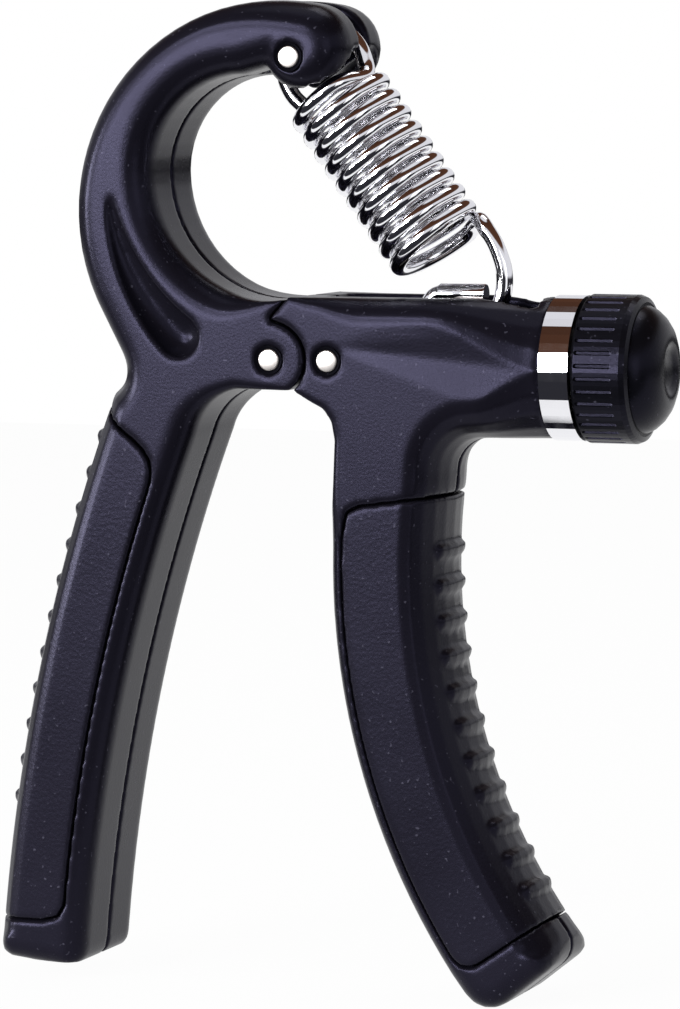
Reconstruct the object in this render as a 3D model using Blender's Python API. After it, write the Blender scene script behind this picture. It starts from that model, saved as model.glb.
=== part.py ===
"""Adjustable hand gripper: a C-shaped frame handle, a hinged handle, an extension spring and a tension knob.

The front view is drawn in X and Z around the hinge axis, with Y the depth. The finished model is then stood
on its two handle tips, centred on the origin.
"""
import math

import bmesh
import bpy
from mathutils import Vector

MM = 0.001

# Depth and fits shared by both handles
HALF_DEPTH = 12.2 * MM
GAP = 0.3 * MM
PIN_RADIUS = 1.75 * MM
PIN_FIT = 0.2 * MM
PIN_RECESS = 1.3 * MM
PIN_RECESS_RADIUS = 2.35 * MM
PIN_HALF = HALF_DEPTH - 1.0 * MM
FLOOR_Z = -101.4 * MM
GRIP_FLOOR_Z = -104.3 * MM
ROUND_STEPS = 5

# Rolled edges: how far they reach in from the outline. A crown runs over the full depth of a grip's palm side
OUTER_ROLL = 3.5 * MM
INNER_ROLL = 4.5 * MM
HEAD_ROLL = 4.6 * MM
FINGER_ROLL = 3.8 * MM
TIP_ROLL = 3.0 * MM
PALM_CROWN = 5.2 * MM
CROWN_RISE = HALF_DEPTH - 0.1 * MM

# Bow
BOW_BOTTOM_Z = -10.7 * MM
BOW_OUTER_RADIUS = 34.4 * MM
BOW_CENTRE = (0.0 * MM, BOW_BOTTOM_Z + BOW_OUTER_RADIUS)
BOW_WALL = 12.8 * MM
BOW_END_ANGLE = 210
HEAD_RADIUS = 7.2 * MM
HEAD_ANGLE = 79.2
ANCHOR_OFFSET = (-1.66 * MM, -1.5 * MM)
INNER_LEFT_X = BOW_WALL - BOW_OUTER_RADIUS
INNER_BOTTOM_Z = 9.5 * MM
INNER_LOWER_RADIUS = BOW_OUTER_RADIUS - BOW_WALL - 0.9 * MM
INNER_UPPER_RADIUS = INNER_LOWER_RADIUS - 4.8 * MM
INNER_CENTRE_Z = INNER_BOTTOM_Z + INNER_LOWER_RADIUS
BRIDGE_Z = -4.9 * MM
WAIST = (-25.3 * MM, -2.0 * MM)
WAIST_RADIUS = 5.6 * MM
GROOVE_RADIUS = 3.6 * MM
GROOVE_TIP_RADIUS = 0.3 * MM
GROOVE_PATH = ((-15.8 * MM, 3.5 * MM), (-22.1 * MM, 10.7 * MM), (-27.9 * MM, 26.6 * MM))

# Frame handle, an arc about a far centre
FRAME_PALM_X = -51.6 * MM
FRAME_CENTRE_Z = -124.5 * MM
FRAME_PALM_RADIUS = 333.0 * MM
FRAME_GRIP_DEPTH = 17.0 * MM
FRAME_TOP_Z = -5.8 * MM
FRAME_INNER_TOP_Z = -12.9 * MM
TIP_RADIUS = 4.0 * MM

# Hinged handle
GRIP_PALM_X = 27.6 * MM
GRIP_CENTRE_Z = -33.0 * MM
GRIP_PALM_RADIUS = 99.4 * MM
GRIP_DEPTH = 17.6 * MM
GRIP_TIP_ANGLE = 219.0
GRIP_TIP_RADIUS = 5.0 * MM
ARM_TOP_Z = 10.2 * MM
ARM_AXIS_Z = -1.0 * MM
ARM_RADIUS = 11.5 * MM
ARM_END_X = 45.5 * MM
ARM_TAPER_X = 27.0 * MM
ARM_ROLL = 4.0 * MM
ARM_FILLET = 5.5 * MM
SHOULDER = ((7.0 * MM, -6.6 * MM), (9.2 * MM, -7.8 * MM), (10.5 * MM, -9.8 * MM), (11.0 * MM, -12.8 * MM))

# Hinge between the handles
KNUCKLE_RADIUS = 6.0 * MM
HINGE_GAP = 0.4 * MM
SEAM_RISE = 1.0 * MM
SEAM_TOP_X = 2.6 * MM
HEEL_X = 4.1 * MM
LINK_PIN_X = 10.0 * MM
HINGE_PLATE_HALF = 2.2 * MM
HINGE_WASHER = 0.5 * MM
HINGE_CHEEK_HALF = 3.3 * MM
HINGE_EYE_RADIUS = 5.0 * MM
BUSH_WALL = 0.8 * MM
LINK_TAIL_RADIUS = 3.9 * MM

# Soft grip pads
PAD_THICKNESS = 1.6 * MM
PAD_RIB_HEIGHT = 0.9 * MM
PAD_RIB_RADIUS = 1.9 * MM
PAD_RIB_HALF_LENGTH = 7.2 * MM
PAD_RIB_ABOVE = 0.6
PAD_RIB_BELOW = 1.4
PAD_RIBS = 11
PAD_EDGE = 3.7 * MM
GRIP_PAD_EDGE = 2.4 * MM
PAD_BOTTOM_Z = -94.2 * MM
FRAME_PAD_TOP_Z = -6.9 * MM
FRAME_RIBS_Z = (-13.3 * MM, -74.1 * MM)
GRIP_PAD_TOP_Z = -21.2 * MM
GRIP_PAD_END = 215.1
GRIP_RIB_ANGLES = (178.6, 211.6)
SHELL_WALL = 2.0 * MM

# Screw channel, knob and nut
CHANNEL_HALF = 5.6 * MM
CHANNEL_BOTTOM_Z = -5.8 * MM
CHANNEL_X = (17.2 * MM, 43.4 * MM)
SLOT_LEFT_X = 7.6 * MM
SLOT_FLOOR_Z = 6.0 * MM
SCREW_RADIUS = 2.3 * MM
SCREW_TIP_X = 14.6 * MM
SCREW_END_X = 58.0 * MM
TIP_BUSH_LENGTH = 2.3 * MM
SPIGOT_RADIUS = 9.2 * MM
SPIGOT_END_X = 49.8 * MM
FERRULE_RADIUS = 11.75 * MM
FERRULE_END_X = 50.5 * MM
WASHER_RADIUS = 7.6 * MM
WASHER_THICKNESS = 0.9 * MM
KNOB_RADIUS = 12.0 * MM
KNOB_START_X = 51.0 * MM
KNOB_END_X = 60.2 * MM
KNOB_EDGE = 1.2 * MM
KNOB_GROOVES = 36
KNOB_GROOVE_HALF = 0.42 * MM
KNOB_GROOVE_DEPTH = 0.5 * MM
KNOB_GROOVES_X = (51.9 * MM, 57.4 * MM)
KNOB_HUB_X = 53.6 * MM
KNOB_POCKET = 3.4 * MM
HEX_RADIUS = 5.0 * MM
CAP_RADIUS = 10.4 * MM
CAP_PLUG_STEP = 1.2 * MM
CAP_START_X = 61.0 * MM
CAP_EDGE = 0.5 * MM
CAP_END_X = 64.4 * MM
NUT_CENTRE_X = 30.8 * MM
NUT_HALF_LENGTH = 3.6 * MM
NUT_TOP_Z = 9.2 * MM
HOOK_PIN_Z = 6.9 * MM
HOOK_PIN_RADIUS = 1.5 * MM
HOOK_SLOT_HALF = 1.85 * MM

# Spring
WIRE_RADIUS = 1.3 * MM
WIRE_SIDES = 8
COIL_RADIUS = 7.8 * MM
COIL_STEPS = 10
COIL_FROM_ANCHOR = (3.5 * MM, -5.6 * MM)
COIL_FROM_HOOK = (-5.5 * MM, 10.75 * MM)
LOOP_OFFSET = (2.66 * MM, -2.32 * MM)
LOOP_START = 222
COIL_GAP = 0.5 * MM
FORK_HALF = 2.1 * MM
FORK_LEFT = 8.7 * MM
FORK_BELOW = 14.9 * MM

BLACK_ABS = (0.016, 0.016, 0.024, 1.0)
SOFT_TPR = (0.022, 0.021, 0.033, 1.0)
BRIGHT_STEEL = (0.72, 0.72, 0.74, 1.0)
CHROME = (0.85, 0.85, 0.87, 1.0)
NATURAL_NYLON = (0.55, 0.53, 0.48, 1.0)


def clear_scene():
    for old in list(bpy.data.objects):
        bpy.data.objects.remove(old, do_unlink=True)


def material(name, colour, roughness, metallic=0.0):
    made = bpy.data.materials.get(name) or bpy.data.materials.new(name)
    made.use_nodes = True
    shader = made.node_tree.nodes["Principled BSDF"]
    shader.inputs["Base Color"].default_value = colour
    shader.inputs["Roughness"].default_value = roughness
    shader.inputs["Metallic"].default_value = metallic
    return made


def polar(centre, radius, degrees):
    turn = math.radians(degrees)
    return (centre[0] + radius * math.cos(turn), centre[1] + radius * math.sin(turn))


def arc(centre, radius, start, end, steps):
    """Points of a circular arc in the front view, angles in degrees."""
    return [polar(centre, radius, start + (end - start) * i / steps) for i in range(steps + 1)]


def circle_through(a, b, c):
    """Centre and radius of the circle through three points."""
    d = 2 * (a[0] * (b[1] - c[1]) + b[0] * (c[1] - a[1]) + c[0] * (a[1] - b[1]))
    squares = [p[0] ** 2 + p[1] ** 2 for p in (a, b, c)]
    x = (squares[0] * (b[1] - c[1]) + squares[1] * (c[1] - a[1]) + squares[2] * (a[1] - b[1])) / d
    z = (squares[0] * (c[0] - b[0]) + squares[1] * (a[0] - c[0]) + squares[2] * (b[0] - a[0])) / d
    return (x, z), math.hypot(a[0] - x, a[1] - z)


def arc_through(a, b, c, steps, grow=0.0):
    """The arc from a over b to c. grow moves it along its radius, outwards if positive."""
    centre, radius = circle_through(a, b, c)
    first = math.degrees(math.atan2(a[1] - centre[1], a[0] - centre[0]))
    middle = (math.degrees(math.atan2(b[1] - centre[1], b[0] - centre[0])) - first) % 360
    last = (math.degrees(math.atan2(c[1] - centre[1], c[0] - centre[0])) - first) % 360
    sweep = last if middle <= last else last - 360
    return arc(centre, radius + grow, first, first + sweep, steps)


def round_corner(before, corner, after, radius, steps=4):
    """A fillet between the lines before-corner and corner-after."""
    here = Vector(corner)
    back = (Vector(before) - here).normalized()
    ahead = (Vector(after) - here).normalized()
    half = back.angle(ahead) / 2
    middle = here + (back + ahead).normalized() * (radius / math.sin(half))
    start = here + back * (radius / math.tan(half)) - middle
    end = here + ahead * (radius / math.tan(half)) - middle
    return [tuple(middle + start.slerp(end, i / steps).normalized() * radius) for i in range(steps + 1)]


def tidy(points, least=0.05 * MM):
    """The same outline without points that fall on top of each other."""
    kept = []
    for point in points:
        if not kept or math.dist(point[:2], kept[-1][:2]) > least:
            kept.append(point)
    if math.dist(kept[0][:2], kept[-1][:2]) < least:
        kept.pop()
    return kept


def rolled(points, first, last):
    """Gives a stretch of outline its rolled edge: inset at the face, reach in depth and half depth, eased."""
    lengths = [0.0]
    for a, b in zip(points, points[1:]):
        lengths.append(lengths[-1] + math.dist(a[:2], b[:2]))
    made = []
    for point, length in zip(points, lengths):
        t = length / max(lengths[-1], 1e-9)
        ease = t * t * (3 - 2 * t)
        made.append((*point[:2], *(a + (b - a) * ease for a, b in zip(first, last))))
    return made


def inward(points, i):
    """The direction into an outline at one of its corners, longer at a sharp one."""
    x, z = points[i][:2]
    before, after = points[i - 1], points[(i + 1) % len(points)]
    first = Vector((-(z - before[1]), x - before[0])).normalized()
    second = Vector((-(after[1] - z), after[0] - x)).normalized()
    middle = (first + second).normalized()
    return middle * min(1 / max(middle.dot(first), 0.1), 1.25)


def trim_below(bm, height):
    """Cuts a closed mesh flat at a height and fills the cut."""
    done = bmesh.ops.bisect_plane(bm, geom=bm.verts[:] + bm.edges[:] + bm.faces[:], dist=1e-7,
                                  plane_co=(0, 0, height), plane_no=(0, 0, -1), clear_outer=True)
    edges = [item for item in done["geom_cut"] if isinstance(item, bmesh.types.BMEdge)]
    bmesh.ops.holes_fill(bm, edges=edges, sides=0)


def add_object(name, mesh_data, surface=None):
    for polygon in mesh_data.polygons:
        polygon.use_smooth = True
    mesh_data.set_sharp_from_angle(angle=math.radians(35))
    made = bpy.data.objects.new(name, mesh_data)
    bpy.context.scene.collection.objects.link(made)
    if surface:
        mesh_data.materials.append(surface)
    return made


def from_bmesh(name, bm, surface=None):
    bmesh.ops.recalc_face_normals(bm, faces=bm.faces[:])
    data = bpy.data.meshes.new(name)
    bm.to_mesh(data)
    bm.free()
    return add_object(name, data, surface)


def prism(name, outline, low_y, high_y, surface=None):
    """An outline in X and Z run from low_y to high_y."""
    bm = bmesh.new()
    front = bm.faces.new([bm.verts.new((x, low_y, z)) for x, z in tidy(outline)])
    side = bmesh.ops.extrude_face_region(bm, geom=[front])["geom"]
    moved = [item for item in side if isinstance(item, bmesh.types.BMVert)]
    bmesh.ops.translate(bm, verts=moved, vec=(0, high_y - low_y, 0))
    return from_bmesh(name, bm, surface)


def rolled_prism(name, outline, floor=None, steps=ROUND_STEPS):
    """A solid from a counter-clockwise outline whose points carry the rolled edge that rolled() gave them."""
    points = tidy(outline, 0.3 * MM)
    turns = [math.radians(90 * k / steps) for k in range(steps + 1)]
    bm = bmesh.new()
    rings = []
    for side, order in ((1, reversed(turns)), (-1, turns)):
        for turn in order:
            layer = []
            for i, (x, z, inset, reach, half) in enumerate(points):
                move = inward(points, i) * (inset * (1 - math.cos(turn)))
                y = side * (half - reach + reach * math.sin(turn))
                layer.append(bm.verts.new((x + move.x, y, z + move.y)))
            rings.append(layer)
    count = len(points)
    for first, second in zip(rings, rings[1:]):
        for i in range(count):
            bm.faces.new((first[i], first[(i + 1) % count], second[(i + 1) % count], second[i]))
    bm.faces.new(rings[0])
    bm.faces.new(rings[-1])
    bmesh.ops.remove_doubles(bm, verts=bm.verts[:], dist=0.02 * MM)
    if floor is not None:
        trim_below(bm, floor)
    return from_bmesh(name, bm)


def box(name, low, high, surface=None):
    outline = [(low[0], low[2]), (high[0], low[2]), (high[0], high[2]), (low[0], high[2])]
    return prism(name, outline, low[1], high[1], surface)


def turned(name, profile, centre, axis, segments=24, surface=None):
    """A profile of (radius, distance along the axis) turned about X, Y or the coil's axis through centre."""
    bm = bmesh.new()
    along = {"X": Vector((1, 0, 0)), "Y": Vector((0, 1, 0))}.get(axis) or coil_frame()[1]
    out = Vector((0, 0, 1)) if abs(along.z) < 0.01 else Vector((0, 1, 0))
    origin = Vector(centre)
    points = [bm.verts.new(origin + along * t + out * r) for r, t in profile]
    edges = [bm.edges.new((points[i], points[i + 1])) for i in range(len(points) - 1)]
    if profile[0][0] > 1e-9:
        edges.append(bm.edges.new((points[-1], points[0])))
    bmesh.ops.spin(bm, geom=points + edges, cent=origin, axis=along, angle=2 * math.pi, steps=segments,
                   use_merge=True)
    bmesh.ops.remove_doubles(bm, verts=bm.verts[:], dist=0.001 * MM)
    return from_bmesh(name, bm, surface)


def ring(name, inner, outer, start, end, centre, axis, surface=None, segments=24):
    profile = [(inner, start), (outer, start), (outer, end), (inner, end)]
    return turned(name, profile, centre, axis, segments, surface)


def pin(name, radius, half_length, x, z, surface=None, segments=20, sleeve=0.0):
    """A round bar along Y with slightly domed ends, thicker inside the fork where sleeve gives a radius."""
    dome = 0.35 * MM
    profile = [(0.0, -half_length - dome), (radius * 0.7, -half_length - dome * 0.6), (radius, -half_length)]
    if sleeve:
        reach = FORK_HALF - GAP
        profile += [(radius, -reach), (sleeve, -reach), (sleeve, reach), (radius, reach)]
    profile += [(radius, half_length), (radius * 0.7, half_length + dome * 0.6), (0.0, half_length + dome)]
    return turned(name, profile, (x, 0, z), "Y", segments, surface)


def guide(piece):
    """Marks an object that only shapes others."""
    piece.hide_render = True
    piece.display_type = "WIRE"
    piece.hide_set(True)
    return piece


def combine(piece, other, operation):
    step = piece.modifiers.new(operation.title() + " " + other.name, "BOOLEAN")
    step.operation = operation
    step.solver = "EXACT"
    step.object = guide(other)
    return piece


def cut(piece, *others):
    for other in others:
        combine(piece, other, "DIFFERENCE")
    return piece


def head_centre():
    return polar(BOW_CENTRE, BOW_OUTER_RADIUS - HEAD_RADIUS, HEAD_ANGLE)


def anchor_place():
    """Where the spring's anchor pin sits in the head."""
    centre = head_centre()
    return (centre[0] + ANCHOR_OFFSET[0], centre[1] + ANCHOR_OFFSET[1])


def coil_frame():
    """The coil's top on its axis, its direction down, its right-hand direction and its length."""
    anchor = anchor_place()
    top = Vector((anchor[0] + COIL_FROM_ANCHOR[0], 0, anchor[1] + COIL_FROM_ANCHOR[1]))
    end = Vector((NUT_CENTRE_X + COIL_FROM_HOOK[0], 0, HOOK_PIN_Z + COIL_FROM_HOOK[1]))
    down = (end - top).normalized()
    return top, down, Vector((-down.z, 0, down.x)), (end - top).length


def frame_side(radius, start_z, end_z, steps):
    """A stretch of the frame handle's palm or finger side, both arcs about one far centre."""
    centre_x = FRAME_PALM_X + FRAME_PALM_RADIUS
    heights = [start_z + (end_z - start_z) * i / steps for i in range(steps + 1)]
    return [(centre_x - math.sqrt(radius ** 2 - (z - FRAME_CENTRE_Z) ** 2), z) for z in heights]


def grip_side(radius, start, end, steps):
    """A stretch of the hinged handle's palm or finger side, angles in degrees about one far centre."""
    return arc((GRIP_PALM_X + GRIP_PALM_RADIUS, GRIP_CENTRE_Z), radius, start, end, steps)


FULL = HALF_DEPTH
CRISP = (0.0, 0.0, FULL)
OUTER = (OUTER_ROLL, OUTER_ROLL, FULL)
INNER = (INNER_ROLL, INNER_ROLL, FULL)
HEAD = (HEAD_ROLL, HEAD_ROLL * 1.2, FULL)
CROWN = (PALM_CROWN, CROWN_RISE, FULL)
FINGER = (FINGER_ROLL, FINGER_ROLL, FULL)
TIP = (TIP_ROLL, TIP_ROLL, FULL)
SMALL = (1.4 * MM, 1.4 * MM, FULL)


def seam():
    """The slanted end of the frame above the knuckle, from the knuckle up to the bow's inner edge."""
    centre_x = INNER_LEFT_X + INNER_LOWER_RADIUS
    top_z = INNER_CENTRE_Z - math.sqrt(INNER_LOWER_RADIUS ** 2 - (SEAM_TOP_X - centre_x) ** 2)
    return (0.0, KNUCKLE_RADIUS + SEAM_RISE), (SEAM_TOP_X, top_z)


def frame_outline():
    """The bow and the frame handle, counter-clockwise from the underside of the spring head."""
    lower_centre = (INNER_LEFT_X + INNER_LOWER_RADIUS, INNER_CENTRE_Z)
    upper_centre = (INNER_LEFT_X + INNER_UPPER_RADIUS, INNER_CENTRE_Z)
    finger_radius = FRAME_PALM_RADIUS - FRAME_GRIP_DEPTH
    points = rolled(arc(head_centre(), HEAD_RADIUS, -154, -60, 8), INNER, HEAD)
    points += rolled(arc(head_centre(), HEAD_RADIUS, -60, HEAD_ANGLE, 12), HEAD, HEAD)[1:]
    points += rolled(arc(BOW_CENTRE, BOW_OUTER_RADIUS, HEAD_ANGLE, 115, 8), HEAD, OUTER)[1:]
    points += rolled(arc(BOW_CENTRE, BOW_OUTER_RADIUS, 115, BOW_END_ANGLE, 20), OUTER, OUTER)[1:]
    palm = frame_side(FRAME_PALM_RADIUS, FRAME_TOP_Z, FLOOR_Z + 5.4 * MM, 24)
    points += rolled(round_corner(points[-1][:2], WAIST, palm[0], WAIST_RADIUS, 8), OUTER, CROWN)
    points += rolled(palm, CROWN, CROWN)
    outer_tip = frame_side(FRAME_PALM_RADIUS, 0, FLOOR_Z + 0.9 * MM, 1)[1]
    inner_tip = frame_side(finger_radius, 0, FLOOR_Z - 1.1 * MM, 1)[1]
    finger = frame_side(finger_radius, FLOOR_Z + 3.3 * MM, FRAME_INNER_TOP_Z, 26)
    points += rolled(round_corner(palm[-1], outer_tip, inner_tip, TIP_RADIUS), CROWN, TIP)
    points += rolled(round_corner(outer_tip, inner_tip, finger[0], TIP_RADIUS * 0.8), TIP, FINGER)
    points += rolled(finger, FINGER, FINGER)
    bridge = arc_through(finger[-1], (-11.0 * MM, -7.4 * MM), (-6.0 * MM, BRIDGE_Z), 7)
    points += rolled(bridge, FINGER, SMALL)[1:]
    bridge_angle = math.degrees(math.asin(BRIDGE_Z / KNUCKLE_RADIUS))
    knuckle = arc((0, 0), KNUCKLE_RADIUS, bridge_angle, 90, 14)
    points += rolled([points[-1][:2], knuckle[0]], SMALL, CRISP)[1:]
    points += rolled(knuckle, CRISP, CRISP)[1:]
    low, top = seam()
    points += rolled([low, top], CRISP, CRISP)
    first = math.degrees(math.atan2(top[1] - lower_centre[1], top[0] - lower_centre[0]))
    points += rolled(arc(lower_centre, INNER_LOWER_RADIUS, first, -115, 6), CRISP, INNER)[1:]
    points += rolled(arc(lower_centre, INNER_LOWER_RADIUS, -115, -180, 10), INNER, INNER)[1:]
    points += rolled(arc(upper_centre, INNER_UPPER_RADIUS, 180, 90, 11), INNER, INNER)[1:]
    return points


def handle_outline():
    """The arm and the grip of the hinged handle, counter-clockwise from the top of its left end."""
    recess = KNUCKLE_RADIUS + HINGE_GAP
    far_x = ARM_END_X + ARM_RADIUS + 2.5 * MM
    arm_bottom = ARM_AXIS_Z - ARM_RADIUS
    low, top = seam()
    rise = (ARM_TOP_Z - low[1]) / (top[1] - low[1])
    start = (low[0] + (top[0] - low[0]) * rise + HINGE_GAP, ARM_TOP_Z)
    points = rolled([start, (HINGE_GAP, low[1])], CRISP, CRISP)
    end_angle = -math.degrees(math.acos(HEEL_X / recess))
    points += rolled(arc((0, 0), recess, 86, end_angle, 14), CRISP, CRISP)
    points += rolled([points[-1][:2], *SHOULDER], CRISP, SMALL)[1:]
    finger_radius = GRIP_PALM_RADIUS + GRIP_DEPTH
    finger = grip_side(finger_radius, 173.5, GRIP_TIP_ANGLE - 1, 26)
    finger = [p for p in finger if p[1] < SHOULDER[-1][1] - 3.0 * MM]
    points += rolled(finger[:4], SMALL, FINGER)
    points += rolled(finger[3:-2], FINGER, FINGER)[1:]
    outer_tip = grip_side(finger_radius, 0, GRIP_TIP_ANGLE, 1)[1]
    inner_tip = grip_side(GRIP_PALM_RADIUS, 0, GRIP_TIP_ANGLE, 1)[1]
    palm = grip_side(GRIP_PALM_RADIUS, GRIP_TIP_ANGLE - 3, 172.5, 26)
    points += rolled(round_corner(finger[-3], outer_tip, inner_tip, GRIP_TIP_RADIUS), FINGER, TIP)
    points += rolled(round_corner(outer_tip, inner_tip, palm[0], TIP_RADIUS), TIP, CROWN)
    points += rolled(palm, CROWN, CROWN)
    under = (PALM_CROWN * 1.25, CROWN_RISE * 0.85, FULL)
    round_end = (ARM_RADIUS - 0.2 * MM, ARM_RADIUS - 0.05 * MM, ARM_RADIUS)
    fillet = round_corner(palm[-1], (palm[-1][0] + 0.4 * MM, arm_bottom), (far_x, arm_bottom), ARM_FILLET, 6)
    points += rolled(fillet, CROWN, under)
    stretch = [(fillet[-1][0] + (ARM_END_X - fillet[-1][0]) * i / 7, arm_bottom) for i in range(8)]
    points += rolled(stretch, under, round_end)[1:]
    points += rolled([(far_x, arm_bottom), (far_x, ARM_AXIS_Z + ARM_RADIUS)], round_end, round_end)
    top_end = ARM_AXIS_Z + ARM_RADIUS
    stretch = [(ARM_END_X + (ARM_TAPER_X - ARM_END_X) * i / 7, top_end + (ARM_TOP_Z - top_end) * i / 7)
               for i in range(8)]
    arm_edge = (ARM_ROLL, ARM_ROLL, FULL)
    points += rolled(stretch, round_end, arm_edge)
    points += rolled([(x * MM, ARM_TOP_Z) for x in (21.0, 15.0)], arm_edge, arm_edge)
    points += rolled([(x * MM, ARM_TOP_Z) for x in (15.0, 12.0, 9.0, 6.0)], arm_edge, SMALL)[1:]
    return points


def pin_holes(name, places, through=True):
    """Bores for pins along Y, each with a wider recess at both faces, as one cutter."""
    bm = bmesh.new()
    for x, z in places:
        deep = HALF_DEPTH - PIN_RECESS
        out = HALF_DEPTH + 1.0 * MM
        bore = PIN_RADIUS + PIN_FIT
        profile = [(0.0, -out), (PIN_RECESS_RADIUS, -out), (PIN_RECESS_RADIUS, -deep), (bore, -deep),
                   (bore, deep), (PIN_RECESS_RADIUS, deep), (PIN_RECESS_RADIUS, out), (0.0, out)]
        one = turned("one_hole", profile, (x, 0, z), "Y", 20)
        bm.from_mesh(one.data)
        bpy.data.objects.remove(one)
    return from_bmesh(name, bm)


def half_shell(name, solid, side, cutters, surface):
    """The front (side -1) or back (side +1) half of a solid, with its hollows cut out."""
    near, far = sorted((side * GAP / 2, side * (HALF_DEPTH + 3.0 * MM)))
    shell = box(name, (-70 * MM, near, -120 * MM), (70 * MM, far, 70 * MM), surface)
    combine(shell, solid, "INTERSECT")
    cut(shell, *cutters)
    return shell


def frame_pad_outline(shrink=0.0):
    """The front outline of the frame's grip pad, open towards the outside. shrink draws the edge in."""
    radius = FRAME_PALM_RADIUS - FRAME_GRIP_DEPTH + PAD_EDGE + shrink
    lower = frame_side(radius, PAD_BOTTOM_Z + 2.6 * MM + shrink, -21.8 * MM, 16)
    left_x = FRAME_PALM_X - 10 * MM
    top_z = FRAME_PAD_TOP_Z - shrink
    outside = [(left_x, top_z), (left_x, PAD_BOTTOM_Z + shrink)]
    corner = lower[0]
    bottom = [(corner[0] - 3.7 * MM, PAD_BOTTOM_Z + shrink),
              (corner[0] - 1.1 * MM, PAD_BOTTOM_Z + 0.7 * MM + shrink)]
    edge = lower[-1]
    swell = [(0.4, 1.5), (0.6, 3.2), (0.2, 5.0), (-0.9, 6.7), (-2.7, 8.3), (-5.2, 10.2),
             (-7.1, 12.0), (-8.4, 13.6)]
    top = [(edge[0] + x * MM, edge[1] + z * MM - shrink) for x, z in swell] + [(edge[0] - 8.7 * MM, top_z)]
    return outside + bottom + lower + top


def handle_pad_outline(shrink=0.0):
    """The front outline of the hinged handle's grip pad, open towards the outside."""
    finger_radius = GRIP_PALM_RADIUS + GRIP_DEPTH
    end = GRIP_PAD_END - math.degrees(shrink / finger_radius)
    edge = grip_side(finger_radius - GRIP_PAD_EDGE - shrink, 174.0, end - 2.0, 20)
    inside = [p for p in edge if p[1] < GRIP_PAD_TOP_Z - 5.3 * MM - shrink]
    first = inside[0]
    top_z = GRIP_PAD_TOP_Z - shrink
    top = [(first[0] + 24 * MM, top_z), (first[0] + 13.0 * MM, top_z - 0.8 * MM),
           (first[0] + 3.1 * MM, top_z - 2.2 * MM), (first[0] + 0.9 * MM, top_z - 3.2 * MM)]
    radii = (finger_radius - GRIP_PAD_EDGE - shrink, GRIP_PALM_RADIUS + 4 * MM, GRIP_PALM_RADIUS - 14 * MM)
    bottom = [grip_side(radius, 0, end, 1)[1] for radius in radii]
    bottom = round_corner(inside[-1], bottom[0], bottom[1], 3.4 * MM, 5) + bottom[1:]
    return top + inside + bottom + [(bottom[-1][0] + 8 * MM, bottom[-1][1] + 28 * MM)]


def rib_row(name, places):
    """Low ribs along Y that stand out of a pad, steep above and gentle below, with ends that sink in."""
    bm = bmesh.new()
    half = PAD_RIB_HALF_LENGTH
    for i, (x, z) in enumerate(places):
        down = (Vector(places[min(i + 1, len(places) - 1)]) - Vector(places[max(i - 1, 0)])).normalized()
        profile = []
        for share in (-1.0, -0.82, -0.45, 0.0, 0.45, 0.82, 1.0):
            sunk = PALM_CROWN * (1 - math.sqrt(1 - (share * half / CROWN_RISE) ** 2))
            end = 0.45 * PAD_RIB_RADIUS if abs(share) > 0.95 else 0.0
            profile.append((PAD_RIB_RADIUS - sunk - end, share * half))
        profile = [(0.0, -half)] + profile + [(0.0, half)]
        one = turned("one_rib", profile, (x, 0, z), "Y", 12)
        for vert in one.data.vertices:
            along = (vert.co.x - x) * down.x + (vert.co.z - z) * down.y
            shift = along * ((PAD_RIB_BELOW if along > 0 else PAD_RIB_ABOVE) - 1)
            vert.co += Vector((shift * down.x, 0, shift * down.y))
        bm.from_mesh(one.data)
        bpy.data.objects.remove(one)
    return from_bmesh(name, bm)


def core_rolls(inset):
    """The rolled edges of a solid this far inside a handle, at its palm side and at its finger side."""
    half = HALF_DEPTH - inset
    crown = (max(PALM_CROWN - inset, 0.5 * MM), max(CROWN_RISE - inset, 0.5 * MM), half)
    return crown, (1.0 * MM, 1.0 * MM, half)


def frame_core(name, inset, finger_radius, top_z, bottom_z):
    """The frame handle's inside, this far in from its palm side and its faces."""
    crown, plain = core_rolls(inset)
    palm = frame_side(FRAME_PALM_RADIUS - inset, top_z, bottom_z, 14)
    finger = frame_side(finger_radius, bottom_z, top_z, 7)
    return rolled_prism(name, rolled(palm, crown, crown) + rolled(finger, plain, plain), steps=3)


def handle_core(name, inset, finger_radius, start, end):
    """The hinged handle's inside, this far in from its palm side and its faces."""
    crown, plain = core_rolls(inset)
    finger = grip_side(finger_radius, start, end, 7)
    palm = grip_side(GRIP_PALM_RADIUS + inset, end, start, 14)
    return rolled_prism(name, rolled(finger, plain, plain) + rolled(palm, crown, crown), steps=3)


def make_pad(name, solid, outline, core, ribs, surface):
    """A soft skin over one side of a handle: its front, back and palm side, one wall thick."""
    reach = HALF_DEPTH + 2.0 * MM
    pad = prism(name, outline(GAP / 2), -reach, reach, surface)
    combine(pad, solid, "INTERSECT")
    combine(pad, ribs, "UNION")
    cut(pad, core)
    return pad


def pad_seat(name, outline, core):
    """What a pad takes out of the shells, with a clearance all round."""
    reach = HALF_DEPTH + 3.0 * MM
    seat = prism(name, outline(-GAP / 2), -reach, reach)
    cut(seat, core)
    return seat


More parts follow.
